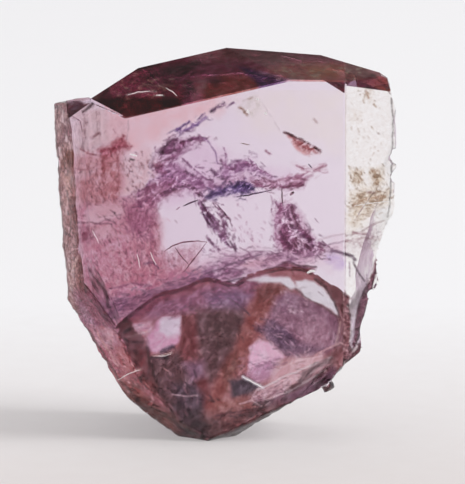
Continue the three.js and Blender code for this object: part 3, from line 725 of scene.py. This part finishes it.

# Painted glints: white strips that glow with their own light, standing in for the light that cracks throw
# back: (width, line)

PAINTED_GLINTS = [
    (2.6, [(307, 273), (311, 271), (315, 271)]),
    (1.6, [(130, 154), (134, 155), (137, 156)]),
    (2.6, [(247, 110), (249, 113)]),
    (2.6, [(265, 112), (266, 115)]),
    (1.6, [(256, 99), (259, 100)]),
    (0.7, [(137, 254), (139, 262), (140, 268)]),
    (0.8, [(150, 252), (153, 258), (156, 265)]),
    (0.6, [(92, 230), (96, 237), (99, 243)]),
    (0.5, [(158, 356), (165, 356), (171, 354)]),
    (0.8, [(354, 206), (372, 203), (390, 201)]),
    (0.7, [(118, 380), (128, 374), (139, 370)]),
    (1.0, [(243, 377), (252, 382), (262, 387)]),
    (0.6, [(128, 95), (138, 92), (150, 91)]),
    (0.8, [(156, 95), (163, 95)]),
    (0.6, [(166, 88), (173, 92), (177, 96)]),
]


# Materials


def nodes_of(material):
    material.use_nodes = True
    tree = material.node_tree
    tree.nodes.clear()
    output = tree.nodes.new("ShaderNodeOutputMaterial")
    shader = tree.nodes.new("ShaderNodeBsdfPrincipled")
    tree.links.new(shader.outputs["BSDF"], output.inputs["Surface"])
    return tree, shader, output


def crystal_material(settings):
    """Clear, evenly coloured crystal; the attribute "break" roughens its broken faces."""
    material = bpy.data.materials.new("axinite")
    tree, shader, output = nodes_of(material)
    new, link = tree.nodes.new, tree.links.new
    shader.inputs["Base Color"].default_value = (1, 1, 1, 1)
    shader.inputs["Transmission Weight"].default_value = 1.0
    shader.inputs["IOR"].default_value = settings.refraction
    shader.inputs["Specular Tint"].default_value = (*settings.gloss, 1)
    absorbing = new("ShaderNodeVolumeAbsorption")
    density = max(settings.absorption) * 1.2
    absorbing.inputs["Color"].default_value = (*(1 - s / density for s in settings.absorption), 1)
    absorbing.inputs["Density"].default_value = density
    link(absorbing.outputs["Volume"], output.inputs["Volume"])
    place = new("ShaderNodeTexCoord")
    broken = new("ShaderNodeAttribute")
    broken.attribute_name = "break"
    grain = new("ShaderNodeTexNoise")
    grain.inputs["Scale"].default_value = 2600
    grain.inputs["Detail"].default_value = 6
    grain.inputs["Roughness"].default_value = 0.62
    link(place.outputs["Object"], grain.inputs["Vector"])
    strength = new("ShaderNodeMath")
    strength.operation = "MULTIPLY_ADD"
    strength.inputs[1].default_value = 0.30
    strength.inputs[2].default_value = 0.004
    link(broken.outputs["Fac"], strength.inputs[0])
    bump = new("ShaderNodeBump")
    bump.inputs["Distance"].default_value = 0.08 * MM
    link(strength.outputs[0], bump.inputs["Strength"])
    link(grain.outputs["Fac"], bump.inputs["Height"])
    link(bump.outputs["Normal"], shader.inputs["Normal"])
    rough = new("ShaderNodeMath")
    rough.operation = "MULTIPLY"
    rough.inputs[1].default_value = 0.14
    link(broken.outputs["Fac"], rough.inputs[0])
    link(rough.outputs[0], shader.inputs["Roughness"])
    return material


def veil_material(name, scale, stretch, turn, least, most, milk=0.0):
    """A veil that tints what passes straight through it and scatters the share "milk" of it.

    A grain thins and thickens the tint.
    """
    material = bpy.data.materials.new(name)
    tree, shader, _ = nodes_of(material)
    new, link = tree.nodes.new, tree.links.new
    shader.inputs["Transmission Weight"].default_value = 1.0 - milk
    shader.inputs["IOR"].default_value = 1.0
    shader.inputs["Roughness"].default_value = 0.0
    tint = new("ShaderNodeAttribute")
    tint.attribute_name = "tint"
    place = new("ShaderNodeTexCoord")
    aside = new("ShaderNodeMapping")
    aside.inputs["Rotation"].default_value = (0, math.radians(turn), 0)
    along = new("ShaderNodeMapping")
    along.inputs["Scale"].default_value = (1 - 0.75 * stretch, 1, 1)
    grain = new("ShaderNodeTexNoise")
    grain.inputs["Scale"].default_value = scale
    grain.inputs["Detail"].default_value = 5
    grain.inputs["Roughness"].default_value = 0.62
    grain.inputs["Distortion"].default_value = 0.6
    amount = new("ShaderNodeMapRange")
    amount.inputs["From Min"].default_value = 0.36
    amount.inputs["From Max"].default_value = 0.64
    amount.inputs["To Min"].default_value = least
    amount.inputs["To Max"].default_value = most
    thickened = new("ShaderNodeGamma")
    link(place.outputs["Object"], aside.inputs["Vector"])
    link(aside.outputs["Vector"], along.inputs["Vector"])
    link(along.outputs["Vector"], grain.inputs["Vector"])
    link(grain.outputs["Fac"], amount.inputs["Value"])
    link(tint.outputs["Color"], thickened.inputs["Color"])
    link(amount.outputs["Result"], thickened.inputs["Gamma"])
    link(thickened.outputs["Color"], shader.inputs["Base Color"])
    return material


# Material of the painted glints: white strips that glow with their own light
def painted_glint_material(colour):
    material = bpy.data.materials.new("painted_glint")
    tree, shader, _ = nodes_of(material)
    place = tree.nodes.new("ShaderNodeTexCoord")
    grain = tree.nodes.new("ShaderNodeTexNoise")
    grain.inputs["Scale"].default_value = 9000
    mixed = tree.nodes.new("ShaderNodeMix")
    mixed.data_type = "RGBA"
    mixed.inputs["A"].default_value = (*(0.75 * c for c in colour), 1)
    mixed.inputs["B"].default_value = (*colour, 1)
    tree.links.new(place.outputs["Object"], grain.inputs["Vector"])
    tree.links.new(grain.outputs["Fac"], mixed.inputs["Factor"])
    tree.links.new(mixed.outputs["Result"], shader.inputs["Base Color"])
    tree.links.new(mixed.outputs["Result"], shader.inputs["Emission Color"])
    # Painted highlight: the glow stands in for light reflected by cracks
    shader.inputs["Emission Strength"].default_value = 0.6
    shader.inputs["Roughness"].default_value = 0.6
    return material


# The crystal


def mark_growth_faces(bm, layer):
    """Faces that a whole growth face was merged into are flat; all others belong to breaks."""
    for face in bm.faces:
        face[layer] = 0 if face.calc_area() > GROWTH_FACE_AREA else 1


def refine_breaks(bm, layer, height):
    """Splits the facets of the breaks finer and gives them a small hackly relief."""
    edges = [e for e in bm.edges if any(f[layer] for f in e.link_faces) and e.calc_length() > 0.12 * MM]
    bmesh.ops.subdivide_edges(bm, edges=edges, cuts=2, use_grid_fill=True)
    bmesh.ops.triangulate(bm, faces=[f for f in bm.faces if f[layer]])
    inside = [v for v in bm.verts if v.link_faces and all(f[layer] for f in v.link_faces)]
    for _ in range(3):
        bmesh.ops.smooth_vert(bm, verts=inside, factor=0.5, use_axis_x=True, use_axis_y=True, use_axis_z=True)
    bm.normal_update()
    for v in inside:
        p = v.co / MM
        fine = noise.noise(p * 2.2) + 0.5 * noise.noise(p * 5.1) + 0.3 * noise.noise(p * 11.0)
        v.co += v.normal * height * fine


def crystal_body(settings):
    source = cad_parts["crystal"].data
    bm = bmesh.new()
    bm.from_mesh(source)
    bmesh.ops.remove_doubles(bm, verts=bm.verts, dist=0.0005 * MM)
    bmesh.ops.dissolve_limit(bm, angle_limit=math.radians(0.5), verts=bm.verts, edges=bm.edges)
    layer = bm.faces.layers.int.new("broken")
    mark_growth_faces(bm, layer)
    refine_breaks(bm, layer, settings.hackle)
    bm.normal_update()
    for face in bm.faces:
        face.smooth = True
    for edge in bm.edges:
        flat = not all(f[layer] for f in edge.link_faces)
        edge.smooth = len(edge.link_faces) == 2 and not flat and edge.calc_face_angle() < math.radians(40)
    bmesh.ops.triangulate(bm, faces=bm.faces, quad_method="BEAUTY", ngon_method="BEAUTY")
    broken = [f[layer] for f in bm.faces]
    bm.faces.layers.int.remove(layer)
    mesh = bpy.data.meshes.new("axinite_crystal")
    bm.to_mesh(mesh)
    bm.free()
    mask = mesh.attributes.new("break", "FLOAT", "FACE")
    mask.data.foreach_set("value", [float(b) for b in broken])
    body = bpy.data.objects.new("axinite_crystal", mesh)
    bpy.context.scene.collection.objects.link(body)
    mesh.materials.append(crystal_material(settings))
    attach(body, "root")
    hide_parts("crystal")


class CRYSTAL_OT_body(bpy.types.Operator):
    """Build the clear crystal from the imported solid"""

    bl_idname = "crystal.body"
    bl_label = "Crystal body"

    def execute(self, context):
        crystal_body(context.scene.crystal)
        return {"FINISHED"}


# Sight lines


def away_from(stage):
    """From the crystal towards the camera."""
    return Vector((0, -math.cos(stage.elevation), math.sin(stage.elevation)))


def refracted(ray, normal, ratio):
    inwards = -ray.dot(normal)
    return ratio * ray + (ratio * inwards - math.sqrt(1 - ratio**2 * (1 - inwards**2))) * normal


class Sight:
    """Finds the point inside the crystal that is seen at a place of the sketch."""

    def __init__(self, scene):
        body = scene.objects["axinite_crystal"]
        mesh = body.data
        corners = [v.co for v in mesh.vertices]
        self.tree = BVHTree.FromPolygons(corners, [tuple(p.vertices) for p in mesh.polygons])
        away = away_from(scene.crystal_stage)
        self.eye = AIM + away * scene.crystal_stage.distance
        self.across = Vector((1, 0, 0))
        self.down = away.cross(self.across)
        if self.down.z > 0:
            self.down.negate()
        self.step = scene.crystal_veils.step
        self.bend = 1 / scene.crystal.refraction

    def meet(self, x, y):
        """Where the sight line enters, the outward normal there and the way it goes on inside."""
        middle_x, middle_y = SKETCH_MIDDLE
        target = AIM + self.across * (x - middle_x) * self.step + self.down * (y - middle_y) * self.step
        ray = (target - self.eye).normalized()
        hit, normal, _, _ = self.tree.ray_cast(self.eye, ray)
        if hit is None:
            return None
        return hit, normal, refracted(ray, normal, self.bend)

    def within(self, hit, inwards, depth):
        start = hit + inwards * 0.004 * MM
        far = self.tree.ray_cast(start, inwards)[3] or depth
        return hit + inwards * min(depth, 0.7 * far)


def group_of(hit, normal):
    """The group of faces that a point of the surface belongs to."""
    if hit.y < FRONT_Y and normal.y < -0.99:
        return "front"
    if hit.z > TOP_Z and normal.z > 0.5:
        return "top"
    if hit.x > STRIP_X and hit.z > STRIP_Z:
        return "strip"
    if hit.x < 0 and hit.z > LEFT_Z and normal.x < -0.5:
        return "left"
    if hit.z < SCAR_Z and normal.y < -0.75:
        return "scar"
    return "foot" if hit.z < FOOT_Z else "other"


# Veils


def scatter(i, j, seed):
    mixed = np.sin(i * 127.1 + j * 311.7 + seed * 74.7) * 43758.5453
    return mixed - np.floor(mixed)


def lumps(u, v, seed):
    """Smooth lumps from -1 to 1, one to each unit of u and v."""
    i, j = np.floor(u), np.floor(v)
    s, t = u - i, v - j
    s, t = s * s * (3 - 2 * s), t * t * (3 - 2 * t)
    near = scatter(i, j, seed) * (1 - s) + scatter(i + 1, j, seed) * s
    far = scatter(i, j + 1, seed) * (1 - s) + scatter(i + 1, j + 1, seed) * s
    return 2 * (near * (1 - t) + far * t) - 1


def from_line(x, y, points):
    """Distance of each place from a line through the points."""
    least = np.full(x.shape, 1e9)
    for (ax, ay), (bx, by) in zip(points, points[1:]):
        length = (bx - ax) ** 2 + (by - ay) ** 2
        t = np.clip(((x - ax) * (bx - ax) + (y - ay) * (by - ay)) / length, 0, 1)
        least = np.minimum(least, np.hypot(x - ax - t * (bx - ax), y - ay - t * (by - ay)))
    return least


def inside_outline(x, y, points):
    odd = np.zeros(x.shape, bool)
    for (ax, ay), (bx, by) in zip(points, points[1:] + points[:1]):
        if ay != by:
            odd ^= ((ay > y) != (by > y)) & (x < ax + (y - ay) * (bx - ax) / (by - ay))
    return odd


def linear(colour):
    c = np.asarray(colour, float) / 255
    return np.where(c <= 0.04045, c / 12.92, ((c + 0.055) / 1.055) ** 2.4)


def swarm(chance, count, spread, length, width, line):
    """Short strokes scattered along a line: (width, stroke) each."""
    lengths = [math.hypot(bx - ax, by - ay) for (ax, ay), (bx, by) in zip(line, line[1:])]
    for _ in range(count):
        k = chance.choices(range(len(lengths)), lengths)[0]
        (ax, ay), (bx, by) = line[k], line[k + 1]
        t = chance.random()
        x = ax + (bx - ax) * t + chance.gauss(0, spread / 2)
        y = ay + (by - ay) * t + chance.gauss(0, spread / 2)
        turn = math.atan2(by - ay, bx - ax) + chance.gauss(0, 0.4)
        reach = 0.5 * length * chance.uniform(0.4, 1.4)
        dx, dy = reach * math.cos(turn), reach * math.sin(turn)
        wide = width * chance.uniform(0.7, 1.4)
        yield wide, [(x - dx, y - dy), (x, y + chance.uniform(-0.5, 0.5)), (x + dx, y + dy)]


def deeper(sheet):
    """The sheets behind the same faces that lie further inside."""
    return [s for s in SHEETS if s["faces"] == sheet["faces"] and s["depth"] > sheet["depth"]]


def tints(sheet, x, y):
    """The light each place of the sheet lets through, so that its marks get their colours as seen."""
    amount = sheet["wander"]
    wx = x + amount * (0.6 * lumps(x / 11, y / 11, 1) + 0.3 * lumps(x / 4.3, y / 4.3, 2))
    wy = y + amount * (0.6 * lumps(x / 11, y / 11, 3) + 0.3 * lumps(x / 4.3, y / 4.3, 4))
    fx, fy = (wx + x) / 2, (wy + y) / 2
    passed = np.ones((len(x), 3))
    ground = linear(sheet["ground"]) * passed
    for behind in deeper(sheet):
        ground = ground * tints(behind, x, y)

    def lay(places, colour, cover):
        tone = np.minimum(linear(colour) / ground[places], 1)
        passed[places] = passed[places] * (1 - cover[:, None]) + tone * cover[:, None]

    def lay_stroke(colour, cover, width, line):
        across, down = zip(*line)
        near = (fx > min(across) - width) & (fx < max(across) + width)
        places = np.flatnonzero(near & (fy > min(down) - width) & (fy < max(down) + width))
        off = from_line(fx[places], fy[places], line)
        lay(places, colour, cover * np.clip(1.25 - off / (0.62 * width), 0, 1))

    for colour, cover, soft, outline in sheet["patches"]:
        edge = from_line(wx, wy, outline + outline[:1])
        deep = np.where(inside_outline(wx, wy, outline), edge, -edge)
        lay(slice(None), colour, cover * np.clip(0.5 + deep / (2 * soft), 0, 1))
    chance = random.Random(sheet["name"])
    for colour, cover, *rest in sheet["flecks"]:
        for width, line in swarm(chance, *rest):
            lay_stroke(colour, cover * chance.uniform(0.5, 1.4), width, line)
    for stroke in sheet["strokes"]:
        lay_stroke(*stroke)
    return passed


AROUND = ((-1, 0), (1, 0), (0, -1), (0, 1), (-1, -1), (1, 1), (-1, 1), (1, -1))


def last_met(meet, inside, outside):
    """The last place on the way from one place to another whose sight line still meets the faces."""
    found = None
    near, far = 0.0, 1.0
    for _ in range(6):
        middle = (near + far) / 2
        x = inside[0] + (outside[0] - inside[0]) * middle
        y = inside[1] + (outside[1] - inside[1]) * middle
        met = meet(x, y)
        if met:
            near, found = middle, (x, y, met)
        else:
            far = middle
    return found


def build_sheet(scene, sight, sheet):
    """A thin open surface inside the crystal, behind one group of its faces."""
    x0, y0, x1, y1 = sheet["frame"]
    spacing = sheet["spacing"]
    number = {}
    points, xs, ys = [], [], []

    def meet(x, y):
        met = sight.meet(x, y)
        return met if met and group_of(met[0], met[1]) == sheet["faces"] else None

    def add(i, j, x, y, met):
        wave = 1 + 0.12 * math.sin(x / 31 + sheet["depth"]) + 0.12 * math.sin(y / 23)
        number[i, j] = len(points)
        points.append(sight.within(met[0], met[2], sheet["depth"] * wave * MM))
        xs.append(x)
        ys.append(y)

    for j in range(int((y1 - y0) / spacing)):
        for i in range(int((x1 - x0) / spacing)):
            x, y = x0 + i * spacing, y0 + j * spacing
            met = meet(x, y)
            if met:
                add(i, j, x, y, met)
    for i, j in list(number):
        for di, dj in AROUND:
            beside = (i + di, j + dj)
            if beside not in number:
                here = (x0 + i * spacing, y0 + j * spacing)
                there = (x0 + beside[0] * spacing, y0 + beside[1] * spacing)
                rim = last_met(meet, here, there)
                if rim:
                    add(*beside, *rim)
    faces = []
    for i, j in number:
        corners = [number.get(c) for c in ((i, j), (i + 1, j), (i + 1, j + 1), (i, j + 1))]
        if None in corners:
            continue
        a, b, c, d = (points[n] for n in corners)
        if max((a - c).length, (b - d).length) > 6 * spacing * sight.step:
            continue
        faces.append(corners)
    mesh = bpy.data.meshes.new(sheet["name"])
    mesh.from_pydata(points, [], faces)
    passed = tints(sheet, np.array(xs), np.array(ys))
    tint = mesh.color_attributes.new("tint", "FLOAT_COLOR", "POINT")
    squared = np.ones((len(points), 4))
    squared[:, :3] = passed**2
    tint.data.foreach_set("color", squared.ravel())
    mesh.materials.append(veil_material(sheet["name"], *sheet["grain"], sheet.get("milk", 0)))
    add_piece(scene, sheet["name"], mesh)


def add_piece(scene, name, mesh):
    piece = bpy.data.objects.new(name, mesh)
    scene.collection.objects.link(piece)
    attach(piece, "root")


def ribbon(sight, line, width, depth):
    """Corners and faces of a narrow strip along a line of the sketch, thinning out to its ends."""
    dense = []
    for (ax, ay), (bx, by) in zip(line, line[1:]):
        count = max(2, round(math.hypot(bx - ax, by - ay) / 1.5))
        dense += [(ax + (bx - ax) * k / count, ay + (by - ay) * k / count) for k in range(count)]
    dense.append(line[-1])
    rows = []
    for k, (x, y) in enumerate(dense):
        ax, ay = dense[max(k - 1, 0)]
        bx, by = dense[min(k + 1, len(dense) - 1)]
        length = math.hypot(bx - ax, by - ay)
        sway = 0.5 * noise.noise(Vector((x, y, 0)) * 0.31)
        half = 0.5 * width * (0.35 + 0.65 * math.sin(math.pi * (k + 0.5) / len(dense)))
        nx, ny = -(by - ay) / length, (bx - ax) / length
        row = []
        for side in (-1, 1):
            met = sight.meet(x + nx * (sway + side * half), y + ny * (sway + side * half))
            row.append(met and sight.within(met[0], met[2], depth))
        rows.append(row)
    corners, faces = [], []
    for a, b in zip(rows, rows[1:]):
        if None in a or None in b or (a[0] - b[0]).length > 10 * sight.step:
            continue
        faces.append([len(corners) + n for n in range(4)])
        corners += [a[0], b[0], b[1], a[1]]
    return corners, faces


def build_cracks(scene, sight):
    corners, faces, colours = [], [], []
    ground = linear(ARCH["ground"])
    for n, (colour, width, line) in enumerate(CRACKS):
        more, quads = ribbon(sight, line, width, (0.10 + 0.21 * scatter(n, 3, 5)) * MM)
        faces += [[len(corners) + c for c in quad] for quad in quads]
        corners += more
        tone = np.minimum(linear(colour) / ground, 1) ** 2
        colours += [(*tone, 1)] * len(more)
    mesh = bpy.data.meshes.new("cracks")
    mesh.from_pydata(corners, [], faces)
    tint = mesh.color_attributes.new("tint", "FLOAT_COLOR", "POINT")
    tint.data.foreach_set("color", np.array(colours).ravel())
    mesh.materials.append(veil_material("cracks", 9000, 0.3, 0, 0.3, 1.6))
    add_piece(scene, "cracks", mesh)


# Lays the painted glints: glowing white strips inside the crystal
def build_painted_glints(scene, sight):
    corners, faces = [], []
    for n, (width, line) in enumerate(PAINTED_GLINTS):
        more, quads = ribbon(sight, line, width, (0.04 + 0.05 * scatter(n, 7, 2)) * MM)
        faces += [[len(corners) + c for c in quad] for quad in quads]
        corners += more
    mesh = bpy.data.meshes.new("painted_glints")
    mesh.from_pydata(corners, [], faces)
    mesh.materials.append(painted_glint_material(scene.crystal_veils.painted_glint))
    add_piece(scene, "painted_glints", mesh)


class CRYSTAL_OT_veils(bpy.types.Operator):
    """Build the tinted veils and stains inside the crystal"""

    bl_idname = "crystal.veils"
    bl_label = "Veils and stains"

    def execute(self, context):
        sight = Sight(context.scene)
        for sheet in SHEETS:
            build_sheet(context.scene, sight, sheet)
        return {"FINISHED"}


class CRYSTAL_OT_cracks(bpy.types.Operator):
    """Build the fine dark cracks and the white slivers, which glow as painted glints"""

    bl_idname = "crystal.cracks"
    bl_label = "Cracks and slivers"

    def execute(self, context):
        sight = Sight(context.scene)
        build_cracks(context.scene, sight)
        build_painted_glints(context.scene, sight)
        return {"FINISHED"}


# Floor, light and camera


def floor_material():
    """Pale board, cool white at the back; painted shade makes it a little warmer and greyer towards the front.
    """
    material = bpy.data.materials.new("floor")
    tree, shader, _ = nodes_of(material)
    new, link = tree.nodes.new, tree.links.new
    place = new("ShaderNodeTexCoord")
    split = new("ShaderNodeSeparateXYZ")
    grain = new("ShaderNodeTexNoise")
    grain.inputs["Scale"].default_value = 900
    grain.inputs["Detail"].default_value = 4
    uneven = new("ShaderNodeMath")
    uneven.operation = "MULTIPLY_ADD"
    uneven.inputs[1].default_value = 6 * MM
    back = new("ShaderNodeMapRange")
    back.inputs["From Min"].default_value = -8 * MM
    back.inputs["From Max"].default_value = 26 * MM
    tone = new("ShaderNodeMix")
    tone.data_type = "RGBA"
    # Painted shade: the front colour is darker than the back one, standing in for the floor's shading towards
    # the front
    tone.inputs["A"].default_value = (0.700, 0.665, 0.660, 1)
    tone.inputs["B"].default_value = (0.84, 0.845, 0.86, 1)
    link(place.outputs["Object"], grain.inputs["Vector"])
    link(place.outputs["Object"], split.inputs["Vector"])
    link(grain.outputs["Fac"], uneven.inputs[0])
    link(split.outputs["Y"], uneven.inputs[2])
    link(uneven.outputs[0], back.inputs["Value"])
    link(back.outputs["Result"], tone.inputs["Factor"])
    link(tone.outputs["Result"], shader.inputs["Base Color"])
    shader.inputs["Roughness"].default_value = 0.9
    shader.inputs["Specular IOR Level"].default_value = 0.1
    return material


def world_light():
    """A white room to just above eye level, with a dimmer ceiling."""
    world = bpy.data.worlds.new("studio")
    bpy.context.scene.world = world
    world.use_nodes = True
    tree = world.node_tree
    tree.nodes.clear()
    new, link = tree.nodes.new, tree.links.new
    place = new("ShaderNodeTexCoord")
    split = new("ShaderNodeSeparateXYZ")
    ramp = new("ShaderNodeValToRGB")
    background = new("ShaderNodeBackground")
    output = new("ShaderNodeOutputWorld")
    link(place.outputs["Generated"], split.inputs["Vector"])
    link(split.outputs["Z"], ramp.inputs["Fac"])
    link(ramp.outputs["Color"], background.inputs["Color"])
    link(background.outputs["Background"], output.inputs["Surface"])
    ramp.color_ramp.elements[0].position = 0.30
    ramp.color_ramp.elements[0].color = (0.86, 0.87, 0.88, 1)
    ramp.color_ramp.elements[1].position = 0.46
    ramp.color_ramp.elements[1].color = (0.18, 0.16, 0.16, 1)


def area_light(name, place, aim, size, power, shadow=True):
    data = bpy.data.lights.new(name, "AREA")
    data.shape = "DISK"
    data.size = size
    data.energy = power
    data.use_shadow = shadow
    light = bpy.data.objects.new(name, data)
    light.location = place
    light.rotation_euler = (Vector(aim) - Vector(place)).to_track_quat("-Z", "Y").to_euler()
    light.visible_camera = False
    light.visible_glossy = False
    light.visible_transmission = False
    bpy.context.scene.collection.objects.link(light)


def build_stage(settings):
    scene = bpy.context.scene
    bpy.ops.mesh.primitive_circle_add(vertices=96, radius=FLOOR_RADIUS, fill_type="NGON", location=(0, 0, 0))
    floor = bpy.context.object
    floor.name = "floor"
    floor.data.materials.append(floor_material())
    world_light()
    area_light("key", KEY_PLACE, KEY_AIM, KEY_SIZE, KEY_POWER)
    area_light("fill", FILL_PLACE, FILL_AIM, FILL_SIZE, FILL_POWER, shadow=False)
    away = away_from(settings)
    camera_data = bpy.data.cameras.new("camera")
    camera_data.sensor_width = SENSOR
    camera_data.lens = SENSOR * settings.distance / settings.field
    camera_data.clip_start = 0.01
    camera_data.clip_end = 5
    camera = bpy.data.objects.new("camera", camera_data)
    camera.location = AIM + away * settings.distance
    camera.rotation_euler = (-away).to_track_quat("-Z", "Y").to_euler()
    scene.collection.objects.link(camera)
    scene.camera = camera
    scene.view_settings.view_transform = "Standard"
    scene.cycles.max_bounces = 40
    scene.cycles.transmission_bounces = 40
    scene.cycles.transparent_max_bounces = 40
    scene.cycles.glossy_bounces = 12
    scene.cycles.diffuse_bounces = 4
    scene.cycles.use_denoising = True


class CRYSTAL_OT_stage(bpy.types.Operator):
    """Set up the floor, the light and the camera"""

    bl_idname = "crystal.stage"
    bl_label = "Stage"

    def execute(self, context):
        build_stage(context.scene.crystal_stage)
        return {"FINISHED"}


class CRYSTAL_PT_panel(bpy.types.Panel):
    """Lists the steps that build the crystal"""

    bl_label = "Crystal"
    bl_idname = "CRYSTAL_PT_panel"
    bl_space_type = "VIEW_3D"
    bl_region_type = "UI"
    bl_category = "Crystal"

    def draw(self, context):
        column = self.layout.column()
        for step in STEPS:
            column.operator(step.bl_idname)


STEPS = (CRYSTAL_OT_body, CRYSTAL_OT_veils, CRYSTAL_OT_cracks, CRYSTAL_OT_stage)
CLASSES = (CrystalSettings, VeilSettings, StageSettings, *STEPS, CRYSTAL_PT_panel)


def register():
    for each in CLASSES:
        bpy.utils.register_class(each)
    bpy.types.Scene.crystal = bpy.props.PointerProperty(type=CrystalSettings)
    bpy.types.Scene.crystal_veils = bpy.props.PointerProperty(type=VeilSettings)
    bpy.types.Scene.crystal_stage = bpy.props.PointerProperty(type=StageSettings)


def unregister():
    del bpy.types.Scene.crystal_stage
    del bpy.types.Scene.crystal_veils
    del bpy.types.Scene.crystal
    for each in reversed(CLASSES):
        bpy.utils.unregister_class(each)


def main():
    register()
    bpy.ops.crystal.body()
    bpy.ops.crystal.veils()
    bpy.ops.crystal.cracks()
    bpy.ops.crystal.stage()


if __name__ == "__main__":
    main()
